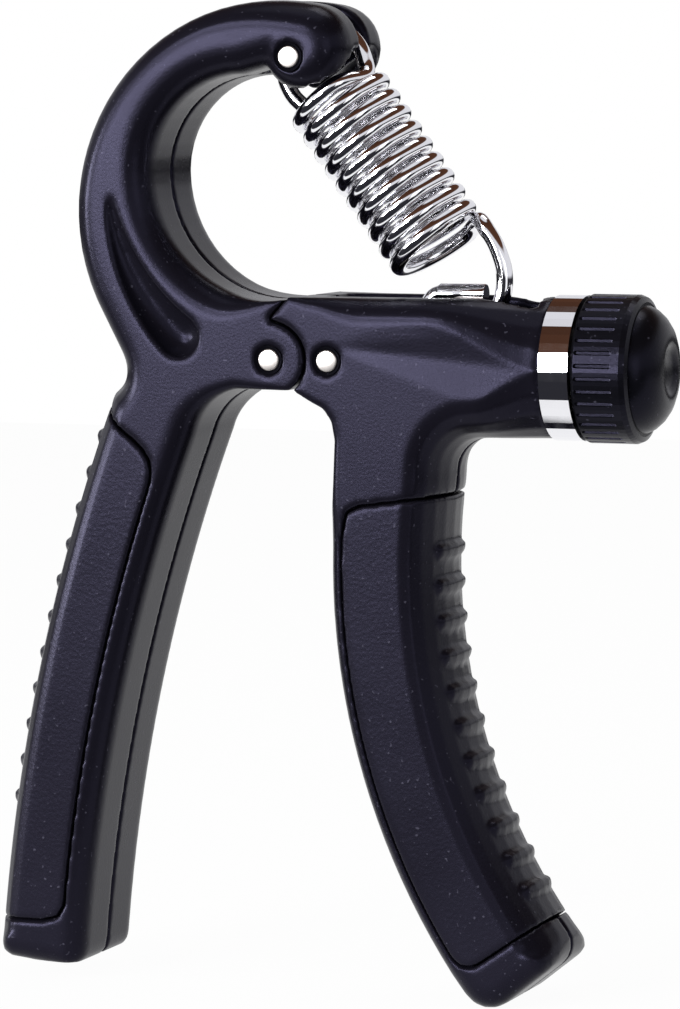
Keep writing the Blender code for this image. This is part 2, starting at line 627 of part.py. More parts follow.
def build_frame(abs_black, rubber, steel):
    solid = guide(rolled_prism("frame_solid", frame_outline(), FLOOR_Z))
    ribs = frame_side(FRAME_PALM_RADIUS + PAD_RIB_HEIGHT - PAD_RIB_RADIUS, *FRAME_RIBS_Z, PAD_RIBS - 1)
    finger_radius = FRAME_PALM_RADIUS - FRAME_GRIP_DEPTH
    open_side = finger_radius - 6 * MM
    low_z = FLOOR_Z - 5 * MM
    core = frame_core("frame_pad_core", PAD_THICKNESS, open_side, 0, low_z)
    make_pad("frame_grip_pad", solid, frame_pad_outline, core, rib_row("frame_ribs", ribs), rubber)

    wall = PAD_THICKNESS + GAP + SHELL_WALL
    grip_hollow = frame_core("frame_grip_hollow", wall, finger_radius + SHELL_WALL + 0.8 * MM,
                             FRAME_PAD_TOP_Z - 8.6 * MM, PAD_BOTTOM_Z)
    bow_half = HALF_DEPTH - GROOVE_RADIUS - SHELL_WALL
    hollow_centre = (INNER_LEFT_X + INNER_LOWER_RADIUS - 0.6 * MM, INNER_CENTRE_Z - 1.0 * MM)
    bow_hollow = prism("bow_hollow", arc(BOW_CENTRE, BOW_OUTER_RADIUS - 2.8 * MM, 112, 196, 12)
                       + arc(hollow_centre, INNER_LOWER_RADIUS + 2.6 * MM, 196, 122, 10), -bow_half, bow_half)
    pocket_left = -HINGE_EYE_RADIUS - 1.6 * MM
    hinge_pocket = box("hinge_pocket", (pocket_left, -HINGE_CHEEK_HALF, -9 * MM),
                       (8 * MM, HINGE_CHEEK_HALF, KNUCKLE_RADIUS - 0.6 * MM))
    anchor = anchor_place()
    left, floor_z, high_z = anchor[0] - FORK_LEFT, anchor[1] - FORK_BELOW, anchor[1] + 13.1 * MM
    fork = prism("fork_slot", [(left, floor_z), (left + 27.2 * MM, floor_z), (left + 27.2 * MM, high_z),
                               (left + 4 * MM, high_z), (left + 4 * MM, high_z - 6 * MM),
                               (left, high_z - 11 * MM)], -FORK_HALF, FORK_HALF)
    room = COIL_RADIUS + WIRE_RADIUS + 0.5 * MM
    above = 1.5 * MM + WIRE_RADIUS
    coil_room = turned("coil_room", [(0.0, -above), (room, -above), (room, 12 * MM), (0.0, 12 * MM)],
                       coil_frame()[0], "coil", 32)
    holes = pin_holes("frame_pin_holes", [(0, 0), anchor])
    seat_core = frame_core("frame_seat_core", PAD_THICKNESS + GAP, open_side, 0, low_z)
    seat = pad_seat("frame_pad_seat", frame_pad_outline, seat_core)
    cutters = [grip_hollow, bow_hollow, hinge_pocket, fork, coil_room, holes, seat, groove_cutter()]
    half_shell("frame_front_shell", solid, -1, cutters, abs_black)
    half_shell("frame_back_shell", solid, 1, cutters, abs_black)
    pin("pivot_pin", PIN_RADIUS, PIN_HALF, 0, 0, steel)
    sleeve = COIL_RADIUS - WIRE_RADIUS - math.hypot(*LOOP_OFFSET) - GAP
    pin("spring_anchor_pin", PIN_RADIUS, PIN_HALF, *anchor, steel, 20, max(sleeve, PIN_RADIUS + 0.2 * MM))


def groove_cutter():
    """The tapering thumb groove on both faces of the bow: a round scoop, widest at its lower end."""
    line = arc_through(*GROOVE_PATH, 14)
    ahead = (Vector(line[1]) - Vector(line[0])).normalized()
    start = [(-1.0, 0.02), (-0.92, 0.39), (-0.7, 0.71), (-0.38, 0.92)]
    route = [(line[0][0] + ahead.x * GROOVE_RADIUS * back, line[0][1] + ahead.y * GROOVE_RADIUS * back)
             for back, share in start] + line
    sizes = [GROOVE_RADIUS * share for back, share in start]
    for i in range(len(line)):
        share = (1 - i / (len(line) - 1)) ** 0.8
        sizes.append(GROOVE_TIP_RADIUS + (GROOVE_RADIUS - GROOVE_TIP_RADIUS) * share)
    bm = bmesh.new()
    for side in (-1, 1):
        one = tube("one_groove", [Vector((x, side * HALF_DEPTH, z)) for x, z in route], sizes, 16, None)
        bm.from_mesh(one.data)
        bpy.data.objects.remove(one)
    return from_bmesh("thumb_grooves", bm)


def build_handle(abs_black, rubber, steel, chrome, nylon):
    solid = rolled_prism("handle_solid", handle_outline(), GRIP_FLOOR_Z)
    trim_box = box("arm_end_trim", (ARM_END_X, -20 * MM, -20 * MM), (ARM_END_X + 20 * MM, 20 * MM, 20 * MM))
    cut(solid, trim_box)
    spigot = turned("arm_spigot", [(0.0, ARM_END_X - 3 * MM), (SPIGOT_RADIUS, ARM_END_X - 3 * MM),
                                   (SPIGOT_RADIUS, SPIGOT_END_X), (0.0, SPIGOT_END_X)],
                    (0, 0, ARM_AXIS_Z), "X", 28)
    combine(solid, spigot, "UNION")
    guide(solid)

    ribs = grip_side(GRIP_PALM_RADIUS - PAD_RIB_HEIGHT + PAD_RIB_RADIUS, *GRIP_RIB_ANGLES, PAD_RIBS - 1)
    finger_radius = GRIP_PALM_RADIUS + GRIP_DEPTH
    open_side = finger_radius + 6 * MM
    core = handle_core("handle_pad_core", PAD_THICKNESS, open_side, 171, 221)
    make_pad("handle_grip_pad", solid, handle_pad_outline, core, rib_row("handle_ribs", ribs), rubber)

    wall = PAD_THICKNESS + GAP + SHELL_WALL
    grip_hollow = handle_core("handle_grip_hollow", wall, finger_radius - SHELL_WALL - 0.6 * MM, 178, 213.6)
    channel = box("screw_channel", (CHANNEL_X[0], -CHANNEL_HALF, CHANNEL_BOTTOM_Z),
                  (CHANNEL_X[1], CHANNEL_HALF, ARM_TOP_Z + 3 * MM))
    slot = box("top_slot", (SLOT_LEFT_X, -CHANNEL_HALF, SLOT_FLOOR_Z),
               (CHANNEL_X[0] + 1 * MM, CHANNEL_HALF, ARM_TOP_Z + 3 * MM))
    bore_radius = SCREW_RADIUS + BUSH_WALL + GAP
    bore = turned("screw_bore", [(0.0, SCREW_TIP_X - 0.6 * MM), (bore_radius, SCREW_TIP_X - 0.6 * MM),
                                 (bore_radius, SPIGOT_END_X + 1 * MM), (0.0, SPIGOT_END_X + 1 * MM)],
                  (0, 0, ARM_AXIS_Z), "X", 20)
    plate_pocket = prism("plate_pocket", plate_outline(GAP), -HINGE_PLATE_HALF - GAP, HINGE_PLATE_HALF + GAP)
    holes = pin_holes("handle_pin_hole", [(LINK_PIN_X, 0)])
    seat_core = handle_core("handle_seat_core", PAD_THICKNESS + GAP, open_side, 171, 221)
    seat = pad_seat("handle_pad_seat", handle_pad_outline, seat_core)
    cutters = [grip_hollow, channel, slot, bore, plate_pocket, holes, seat]
    half_shell("handle_front_shell", solid, -1, cutters, abs_black)
    half_shell("handle_back_shell", solid, 1, cutters, abs_black)

    pin("hinge_plate_pin", PIN_RADIUS, PIN_HALF, LINK_PIN_X, 0, steel)
    plate = prism("hinge_plate", plate_outline(0), -HINGE_PLATE_HALF, HINGE_PLATE_HALF, steel)
    bush_radius = PIN_RADIUS + PIN_FIT + BUSH_WALL
    eye = turned("plate_eye_bore", [(0.0, -5 * MM), (bush_radius + GAP, -5 * MM), (bush_radius + GAP, 5 * MM),
                                    (0.0, 5 * MM)], (0, 0, 0), "Y", 20)
    link_eye = turned("plate_link_bore", [(0.0, -5 * MM), (PIN_RADIUS + PIN_FIT, -5 * MM),
                                          (PIN_RADIUS + PIN_FIT, 5 * MM), (0.0, 5 * MM)],
                      (LINK_PIN_X, 0, 0), "Y", 20)
    cut(plate, eye, link_eye)
    ring("pivot_bush", PIN_RADIUS + PIN_FIT, bush_radius, -HINGE_PLATE_HALF, HINGE_PLATE_HALF, (0, 0, 0), "Y",
         nylon, 20)
    for name, side in (("pivot_washer_front", -1), ("pivot_washer_back", 1)):
        start = side * (HINGE_PLATE_HALF + GAP / 2)
        end = start + side * HINGE_WASHER
        ring(name, PIN_RADIUS + PIN_FIT, HINGE_EYE_RADIUS - 0.4 * MM, min(start, end), max(start, end),
             (0, 0, 0), "Y", nylon, 20)

    axis_point = (0, 0, ARM_AXIS_Z)
    ring("chrome_ferrule", SPIGOT_RADIUS + GAP, FERRULE_RADIUS, ARM_END_X + GAP / 2, FERRULE_END_X,
         axis_point, "X", chrome, 48)
    bush_radii = (SCREW_RADIUS + PIN_FIT, SCREW_RADIUS + BUSH_WALL + PIN_FIT / 2)
    ring("screw_tip_bush", *bush_radii, SCREW_TIP_X - 0.3 * MM, SCREW_TIP_X + TIP_BUSH_LENGTH,
         axis_point, "X", nylon, 20)
    ring("screw_sleeve_bush", *bush_radii, CHANNEL_X[1] + GAP, SPIGOT_END_X, axis_point, "X", nylon, 20)
    washer_x = SPIGOT_END_X + GAP
    ring("thrust_washer", SCREW_RADIUS + GAP, WASHER_RADIUS, washer_x, washer_x + WASHER_THICKNESS,
         axis_point, "X", steel, 28)


def plate_outline(grow):
    """The hinge plate: a round eye on the pivot and a tail held inside the hinged handle."""
    eye = arc((0, 0), HINGE_EYE_RADIUS + grow, 60, 300, 14)
    tail = arc((LINK_PIN_X, 0), LINK_TAIL_RADIUS + grow, -75, 75, 8)
    return eye + tail


def build_knob(abs_black, steel):
    """The tension knob with its screw, lock nut and end cap, all turning about the arm's axis."""
    axis_empty = bpy.data.objects.new("knob_axis", None)
    axis_empty.location = (KNOB_START_X, 0, ARM_AXIS_Z)
    bpy.context.scene.collection.objects.link(axis_empty)
    centre = (0, 0, ARM_AXIS_Z)
    recess_radius = WASHER_RADIUS + GAP
    recess_end = SPIGOT_END_X + GAP + WASHER_THICKNESS + GAP
    pocket_end = KNOB_HUB_X + KNOB_POCKET
    socket = CAP_RADIUS - CAP_PLUG_STEP
    edge = KNOB_EDGE
    grip = turned("knob_grip", [(SCREW_RADIUS + GAP / 2, recess_end), (recess_radius, recess_end),
                                (recess_radius, KNOB_START_X), (KNOB_RADIUS - edge * 0.4, KNOB_START_X),
                                (KNOB_RADIUS, KNOB_START_X + edge * 0.4), (KNOB_RADIUS, KNOB_END_X - edge),
                                (KNOB_RADIUS - edge * 0.29, KNOB_END_X - edge * 0.29),
                                (KNOB_RADIUS - edge, KNOB_END_X), (socket, KNOB_END_X),
                                (socket, pocket_end), (HEX_RADIUS + 0.6 * MM, pocket_end),
                                (HEX_RADIUS + 0.6 * MM, KNOB_HUB_X), (SCREW_RADIUS + GAP / 2, KNOB_HUB_X)],
                  centre, "X", 72, abs_black)
    grooves = bmesh.new()
    small = KNOB_GROOVE_HALF
    start, end = KNOB_GROOVES_X
    away = KNOB_RADIUS + small - KNOB_GROOVE_DEPTH
    profile = [(0.0, start - small), (small * 0.7, start - small * 0.7), (small, start), (small, end),
               (small * 0.7, end + small * 0.7), (0.0, end + small)]
    for i in range(KNOB_GROOVES):
        turn = 2 * math.pi * (i + 0.5) / KNOB_GROOVES
        place = (0, away * math.sin(turn), ARM_AXIS_Z + away * math.cos(turn))
        one = turned("one_knob_groove", profile, place, "X", 6)
        grooves.from_mesh(one.data)
        bpy.data.objects.remove(one)
    cut(grip, from_bmesh("knob_grooves", grooves))
    cap_start = pocket_end + GAP
    plug_radius = socket - GAP
    rim = CAP_RADIUS - CAP_EDGE * 0.6
    rim_x = CAP_START_X + CAP_EDGE
    rise = CAP_END_X - rim_x
    sphere = (rim ** 2 + rise ** 2) / (2 * rise)
    dome = [(rim * share, CAP_END_X - sphere + math.sqrt(sphere ** 2 - (rim * share) ** 2))
            for share in (1.0, 0.87, 0.72, 0.55, 0.37, 0.18)]
    cap = turned("knob_end_cap", [(0.0, cap_start + 1.4 * MM), (plug_radius - 1.6 * MM, cap_start + 1.4 * MM),
                                  (plug_radius - 1.6 * MM, cap_start), (plug_radius, cap_start),
                                  (plug_radius, CAP_START_X), (CAP_RADIUS, CAP_START_X),
                                  (CAP_RADIUS, CAP_START_X + CAP_EDGE * 0.5)] + dome + [(0.0, CAP_END_X)],
                 centre, "X", 48, abs_black)
    profile = [(0.0, SCREW_TIP_X), (SCREW_RADIUS - 0.5 * MM, SCREW_TIP_X),
               (SCREW_RADIUS, SCREW_TIP_X + 0.6 * MM), (SCREW_RADIUS, SCREW_END_X - 0.5 * MM),
               (SCREW_RADIUS - 0.5 * MM, SCREW_END_X), (0.0, SCREW_END_X)]
    screw = turned("adjusting_screw", profile, centre, "X", 20, steel)
    nut_start = KNOB_HUB_X + GAP
    hexagon = [(HEX_RADIUS * math.cos(math.radians(60 * i)), HEX_RADIUS * math.sin(math.radians(60 * i)))
               for i in range(6)]
    bm = bmesh.new()
    face = bm.faces.new([bm.verts.new((nut_start, y, z + ARM_AXIS_Z)) for y, z in hexagon])
    raised = bmesh.ops.extrude_face_region(bm, geom=[face])["geom"]
    height = KNOB_POCKET - 2 * GAP
    moved = [item for item in raised if isinstance(item, bmesh.types.BMVert)]
    bmesh.ops.translate(bm, verts=moved, vec=(height, 0, 0))
    lock_nut = from_bmesh("knob_lock_nut", bm, steel)
    bore = (SCREW_RADIUS + PIN_FIT, nut_start - 3 * MM, nut_start + 8 * MM)
    profile = [(0.0, bore[1]), (bore[0], bore[1]), (bore[0], bore[2]), (0.0, bore[2])]
    cut(lock_nut, turned("lock_nut_bore", profile, centre, "X", 20))
    for piece in (grip, cap, screw, lock_nut):
        piece.parent = axis_empty
        piece.matrix_parent_inverse = axis_empty.matrix_basis.inverted()


def build_nut(steel):
    """The travelling nut: threaded on the screw. The pin in its fork holds the spring's lower hook."""
    low_x, high_x = NUT_CENTRE_X - NUT_HALF_LENGTH, NUT_CENTRE_X + NUT_HALF_LENGTH
    half_width = CHANNEL_HALF - GAP
    block = box("adjuster_nut", (low_x, -half_width, CHANNEL_BOTTOM_Z + GAP),
                (high_x, half_width, NUT_TOP_Z), steel)
    slot = box("nut_fork_slot", (low_x - 1 * MM, -HOOK_SLOT_HALF, ARM_AXIS_Z + SCREW_RADIUS + 0.75 * MM),
               (high_x + 1 * MM, HOOK_SLOT_HALF, NUT_TOP_Z + 1 * MM))
    bore = turned("nut_bore", [(0.0, low_x - 1 * MM), (SCREW_RADIUS + PIN_FIT, low_x - 1 * MM),
                               (SCREW_RADIUS + PIN_FIT, high_x + 1 * MM), (0.0, high_x + 1 * MM)],
                  (0, 0, ARM_AXIS_Z), "X", 20)
    pin_bore = turned("nut_pin_bore", [(0.0, -7 * MM), (HOOK_PIN_RADIUS + PIN_FIT, -7 * MM),
                                       (HOOK_PIN_RADIUS + PIN_FIT, 7 * MM), (0.0, 7 * MM)],
                      (NUT_CENTRE_X, 0, HOOK_PIN_Z), "Y", 16)
    cut(block, slot, bore, pin_bore)
    pin("spring_hook_pin", HOOK_PIN_RADIUS, half_width - 0.5 * MM, NUT_CENTRE_X, HOOK_PIN_Z, steel, 16)


def spring_route():
    """Key points of the spring's wire: the upper loop round the anchor pin, the coil, and the lower hook."""
    top, down, right, length = coil_frame()
    front = Vector((0, -1, 0))
    anchor = anchor_place()
    loop_centre = Vector((anchor[0] + LOOP_OFFSET[0], 0, anchor[1] + LOOP_OFFSET[1]))
    join = top + right * COIL_RADIUS - loop_centre
    first = math.degrees(math.atan2(join.z, join.x))
    points = []
    for i in range(11):
        share = i / 10
        turn = math.radians(LOOP_START + (first - LOOP_START) * share)
        radius = COIL_RADIUS + (join.length - COIL_RADIUS) * max(0.0, share - 0.7) / 0.3
        points.append(loop_centre + Vector((math.cos(turn), 0, math.sin(turn))) * radius)
    turns = max(3, int(length / (2 * WIRE_RADIUS + COIL_GAP)))
    pitch = length / turns
    for i in range(1, turns * COIL_STEPS - 1):
        turn = 2 * math.pi * i / COIL_STEPS
        centre = top + down * (pitch * i / COIL_STEPS)
        points.append(centre + (right * math.cos(turn) + front * math.sin(turn)) * COIL_RADIUS)
    under = -HOOK_PIN_RADIUS - WIRE_RADIUS - GAP
    lower_hook = ((2.5, 14.8), (4.6, 13.5), (5.7, 10.9), (6.0, 8.3),
                  (5.9, 5.5), (5.1, 2.5), (3.8, -0.3), (2.3, -2.2))
    points += [Vector((NUT_CENTRE_X + x * MM, 0, HOOK_PIN_Z + z * MM)) for x, z in lower_hook]
    lower_hook = ((0.0, 0.0), (-3.9, 0.0), (-6.6, 1.2), (-7.9, 3.7),
                  (-7.1, 6.2), (-5.0, 7.1), (-1.6, 7.1), (2.3, 7.1))
    points += [Vector((NUT_CENTRE_X + x * MM, 0, HOOK_PIN_Z + under + z * MM)) for x, z in lower_hook]
    return points


def least_gap(points):
    """The least gap between turns of the wire that aren't neighbours along it."""
    least = 1.0
    for i, a in enumerate(points):
        for b in points[i + 6:]:
            least = min(least, (a - b).length - 2 * WIRE_RADIUS)
    return least


def tube(name, route, sizes, sides, surface):
    """A closed round bar along a route of points. sizes gives its radius at each of them."""
    bm = bmesh.new()
    across = Vector((0, 1, 0))
    rings = []
    for i, point in enumerate(route):
        along = (route[min(i + 1, len(route) - 1)] - route[max(i - 1, 0)]).normalized()
        across = (across - along * across.dot(along)).normalized()
        other = along.cross(across)
        rings.append([bm.verts.new(point + (across * math.cos(2 * math.pi * k / sides)
                                            + other * math.sin(2 * math.pi * k / sides)) * sizes[i])
                      for k in range(sides)])
    for first, second in zip(rings, rings[1:]):
        for k in range(sides):
            bm.faces.new((first[k], first[(k + 1) % sides], second[(k + 1) % sides], second[k]))
    bm.faces.new(rings[0])
    bm.faces.new(rings[-1])
    return from_bmesh(name, bm, surface)


def build_spring(chrome):
    """The extension spring, one unbroken wire."""
    route = spring_route()
    tube("extension_spring", route, [WIRE_RADIUS] * len(route), WIRE_SIDES, chrome)
    print(f"least gap of the spring's wire to itself: {least_gap(route) / MM:.2f} mm")


def stand_on_tips():
    """Moves the whole model so that its lowest face lies at Z 0 and its box is centred on the origin."""
    bpy.context.view_layer.update()
    graph = bpy.context.evaluated_depsgraph_get()
    low, high = Vector((1, 1, 1)), Vector((-1, -1, -1))
    for piece in bpy.context.scene.objects:
        if piece.hide_render or piece.type not in {"MESH", "CURVE"}:
            continue
        shown = piece.evaluated_get(graph)
        data = shown.to_mesh()
        for vert in data.vertices:
            place = shown.matrix_world @ vert.co
            low = Vector(map(min, low, place))
            high = Vector(map(max, high, place))
        shown.to_mesh_clear()
    shift = Vector((-(low.x + high.x) / 2, -(low.y + high.y) / 2, -low.z))
    for piece in bpy.context.scene.objects:
        if piece.parent is None:
            piece.location += shift
    print("hinge axis at", [round(value, 6) for value in shift])
    print("knob axis at", [round(value, 6) for value in shift + Vector((KNOB_START_X, 0, ARM_AXIS_Z))])


def main():
    clear_scene()
    abs_black = material("black moulded ABS", BLACK_ABS, 0.42)
    rubber = material("soft black TPR", SOFT_TPR, 0.62)
    steel = material("bright steel", BRIGHT_STEEL, 0.25, 1.0)
    chrome = material("chrome plate", CHROME, 0.08, 1.0)
    nylon = material("natural nylon", NATURAL_NYLON, 0.5)
    build_frame(abs_black, rubber, steel)
    build_handle(abs_black, rubber, steel, chrome, nylon)
    build_knob(abs_black, steel)
    build_nut(steel)
    build_spring(chrome)
    stand_on_tips()


main()
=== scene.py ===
"""Looks for an adjustable hand gripper: moulded shells, soft grips, a chrome spring and a ribbed tension knob."""
import math

import bmesh
import bpy
from mathutils import Matrix, Vector


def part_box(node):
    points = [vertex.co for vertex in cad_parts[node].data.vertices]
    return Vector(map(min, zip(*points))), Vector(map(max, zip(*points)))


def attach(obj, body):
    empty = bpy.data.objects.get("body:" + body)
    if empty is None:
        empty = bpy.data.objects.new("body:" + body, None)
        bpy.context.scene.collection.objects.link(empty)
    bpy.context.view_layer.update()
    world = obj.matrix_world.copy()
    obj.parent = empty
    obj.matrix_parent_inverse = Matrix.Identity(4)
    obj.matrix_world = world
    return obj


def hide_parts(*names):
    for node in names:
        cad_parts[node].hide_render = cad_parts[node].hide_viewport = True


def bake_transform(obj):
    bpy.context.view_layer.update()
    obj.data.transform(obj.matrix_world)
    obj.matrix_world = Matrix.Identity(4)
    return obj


bl_info = {
    "name": "Hand Gripper",
    "version": (1, 0, 0),
    "blender": (4, 5, 0),
    "location": "View3D > Sidebar > Gripper",
    "description": "Dresses the hand gripper's frame with moulded shells, grips, spring and knob",
    "category": "Object",
}

MM = 0.001
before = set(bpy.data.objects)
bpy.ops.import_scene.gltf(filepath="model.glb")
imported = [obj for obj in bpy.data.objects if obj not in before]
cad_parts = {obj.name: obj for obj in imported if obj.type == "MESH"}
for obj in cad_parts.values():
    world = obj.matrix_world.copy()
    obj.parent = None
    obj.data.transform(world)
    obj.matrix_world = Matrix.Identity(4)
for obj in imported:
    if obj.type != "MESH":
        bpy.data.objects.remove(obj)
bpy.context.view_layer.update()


def box_centre(node):
    """The middle of a CAD node's box."""
    low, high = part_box(node)
    return (low + high) / 2


PIVOT = box_centre("pivot_pin")
ANCHOR = box_centre("spring_anchor_pin")
HOOK = box_centre("spring_hook_pin")
HALF_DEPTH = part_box("frame_back_shell")[1].y


def place(x, z, y=0.0):
    """A point given in millimetres from the hinge axis."""
    return PIVOT + Vector((x, y, z)) * MM


# Materials

# Black ABS and TPR take a slightly violet sheen from their carbon black.
SHEEN = "cbc7fa"
DUST = "36353f"
SEAM = "050507"
WHITE = (1.0, 1.0, 1.0, 1.0)

# Pattern scales, per metre. The gloss drifts every 17 mm, the turned streaks are 1.1 mm wide, and the dust is
# drawn on a 0.6 mm pattern, a little coarser than real so that it shows.
GLOSS_DRIFT = 60.0
TURNED_STREAKS = 900.0
DUST_SPECKS = 1000.0 / 0.6
SEAM_HALF_WIDTH = 0.1 * MM
SEAM_EDGE = 0.16 * MM


def linear(hex_value):
    """An sRGB colour such as "2b2b33" as the linear values that shaders take."""
    parts = [int(hex_value[i:i + 2], 16) / 255 for i in (0, 2, 4)]
    return (*[c / 12.92 if c <= 0.04045 else ((c + 0.055) / 1.055) ** 2.4 for c in parts], 1.0)


def add_node(tree, kind, settings=None, links=None):
    """Adds a node, with settings for its own attributes (in lower case) and its inputs, and links to its inputs.

    An input or output is given by its name, or by its number where a node has several of one name.
    """
    node = tree.nodes.new(kind)
    for key, value in (settings or {}).items():
        if isinstance(key, str) and key.islower():
            setattr(node, key, value)
        else:
            node.inputs[key].default_value = value
    for key, (source, output) in (links or {}).items():
        tree.links.new(source.outputs[output], node.inputs[key])
    return node


def new_material(name):
    """An empty node material and its Texture Coordinate node."""
    made = bpy.data.materials.new(name)
    made.use_nodes = True
    tree = made.node_tree
    tree.nodes.clear()
    coords = tree.nodes.new("ShaderNodeTexCoord")
    return made, tree, coords


def moulded_plastic(name, colour, roughness, grain_mm, grain_depth, level, lift=1.4, parting_line=False):
    """Injection-moulded plastic: a fine etched grain, a slow drift of gloss, and pale specks of dust.

    lift is how much lighter the colour gets where the gloss drifts.
    """
    made, tree, coords = new_material(name)
    place_on_part = {"Vector": (coords, "Object")}
    drift = add_node(tree, "ShaderNodeTexNoise", {"Scale": GLOSS_DRIFT, "Detail": 3.0}, place_on_part)
    grain = add_node(tree, "ShaderNodeTexNoise", {"Scale": 1000.0 / grain_mm, "Detail": 2.0}, place_on_part)
    specks = add_node(tree, "ShaderNodeTexNoise", {"Scale": DUST_SPECKS, "Detail": 0.0}, place_on_part)
    gloss = add_node(tree, "ShaderNodeMapRange", {"To Min": roughness - 0.06, "To Max": roughness + 0.06},
                     {"Value": (drift, "Fac")})
    bump = add_node(tree, "ShaderNodeBump", {"Strength": 0.35, "Distance": grain_depth * MM},
                    {"Height": (grain, "Fac")})
    dust = add_node(tree, "ShaderNodeMapRange", {"From Min": 0.77, "From Max": 0.85}, {"Value": (specks, "Fac")})
    dark = tuple(colour)
    light = (*[c * lift for c in dark[:3]], 1.0)
    clean = add_node(tree, "ShaderNodeMix", {"data_type": "RGBA", 6: dark, 7: light}, {"Factor": (drift, "Fac")})
    surface = add_node(tree, "ShaderNodeMix", {"data_type": "RGBA", 7: linear(DUST)},
                       {"Factor": (dust, "Result"), 6: (clean, 2)})
    if parting_line:
        # The mould closes on the part's middle plane and leaves a line about 0.25 mm wide.
        split = add_node(tree, "ShaderNodeSeparateXYZ", links={"Vector": (coords, "Object")})
        away = add_node(tree, "ShaderNodeMath", {"operation": "ABSOLUTE"}, {0: (split, "Y")})
        line = add_node(tree, "ShaderNodeMapRange", {"From Min": SEAM_HALF_WIDTH, "From Max": SEAM_EDGE},
                        {"Value": (away, "Value")})
        surface = add_node(tree, "ShaderNodeMix", {"data_type": "RGBA", 6: linear(SEAM)},
                           {"Factor": (line, "Result"), 7: (surface, 2)})
    shader = add_node(tree, "ShaderNodeBsdfPrincipled",
                      {"IOR": 1.52, "Specular IOR Level": level, "Specular Tint": linear(SHEEN)},
                      {"Roughness": (gloss, "Result"), "Normal": (bump, "Normal"), "Base Color": (surface, 2)})
    add_node(tree, "ShaderNodeOutputMaterial", links={"Surface": (shader, "BSDF")})
    return made


def metal(name, colour, roughness, streak):
    """A bright metal whose gloss varies by streak, little on plating and more on a turned face."""
    made, tree, coords = new_material(name)
    streaks = add_node(tree, "ShaderNodeTexNoise", {"Scale": TURNED_STREAKS, "Detail": 2.0},
                       {"Vector": (coords, "Object")})
    gloss = add_node(tree, "ShaderNodeMapRange", {"To Min": roughness, "To Max": roughness + streak},
                     {"Value": (streaks, "Fac")})
    shader = add_node(tree, "ShaderNodeBsdfPrincipled", {"Metallic": 1.0, "Base Color": tuple(colour)},
                      {"Roughness": (gloss, "Result")})
    add_node(tree, "ShaderNodeOutputMaterial", links={"Surface": (shader, "BSDF")})
    return made


MATERIALS = {}


def material(key):
    """The named finish, made from the scene's colours when it is first asked for."""
    if not MATERIALS:
        colours = bpy.context.scene.gripper_colours
        # Etched ABS halves shine softly, and the softer TPR pads are grained more and shine less.
        MATERIALS["abs"] = moulded_plastic("black moulded ABS", colours.shell, 0.28, 0.45, 0.05, 0.14)
        MATERIALS["tpr"] = moulded_plastic("black soft-touch TPR", colours.pad, 0.3, 0.6, 0.08, 0.14,
                                           parting_line=True)
        MATERIALS["knob"] = moulded_plastic("black knob ABS", colours.knob, 0.28, 0.5, 0.04, 0.14)
        # Painted shade: a near-black matt finish on the ring round each pin stands for the shade in the narrow
        # gap there, where hardly any light gets in.
        MATERIALS["recess"] = moulded_plastic("painted shade in pin recess", linear("020203"), 0.8, 0.5, 0.02, 0.1)
        # Nickel-chrome plate mirrors the room, and the turned pins blur it.
        MATERIALS["chrome"] = metal("bright chrome plate", colours.chrome, 0.05, 0.04)
        MATERIALS["steel"] = metal("turned steel", colours.steel, 0.3, 0.14)
        MATERIALS["nylon"] = moulded_plastic("natural nylon", colours.nylon, 0.45, 0.5, 0.03, 0.5, lift=1.2)
    return MATERIALS[key]


# Mesh helpers


CREASE = 40
MERGE = 0.002 * MM


def mesh_object(name, bm, finish, crease=CREASE):
    """Turns a bmesh into an object, smooth but for edges sharper than crease degrees."""
    bmesh.ops.remove_doubles(bm, verts=bm.verts[:], dist=MERGE)
    bmesh.ops.recalc_face_normals(bm, faces=bm.faces[:])
    data = bpy.data.meshes.new(name)
    bm.to_mesh(data)
    bm.free()
    for polygon in data.polygons:
        polygon.use_smooth = True
    data.set_sharp_from_angle(angle=math.radians(crease))
    data.materials.append(finish)
    made = bpy.data.objects.new(name, data)
    bpy.context.scene.collection.objects.link(made)
    return made


def paint(node, finish):
    """Gives a CAD node a material."""
    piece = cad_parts[node]
    if piece.material_slots:
        for entry in piece.material_slots:
            entry.material = finish
    else:
        piece.data.materials.append(finish)


def soften(node, voxel, passes=3):
    """Rounds a CAD node's edges as a mould does: merged, remeshed finely and smoothed."""
    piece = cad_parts[node]
    weld = piece.modifiers.new("Weld", "WELD")
    weld.merge_threshold = 0.005 * MM
    remesh = piece.modifiers.new("Remesh", "REMESH")
    remesh.mode = "VOXEL"
    remesh.voxel_size = voxel
    remesh.use_smooth_shade = True
    smooth = piece.modifiers.new("Smooth", "SMOOTH")
    smooth.factor = 0.5
    smooth.iterations = passes


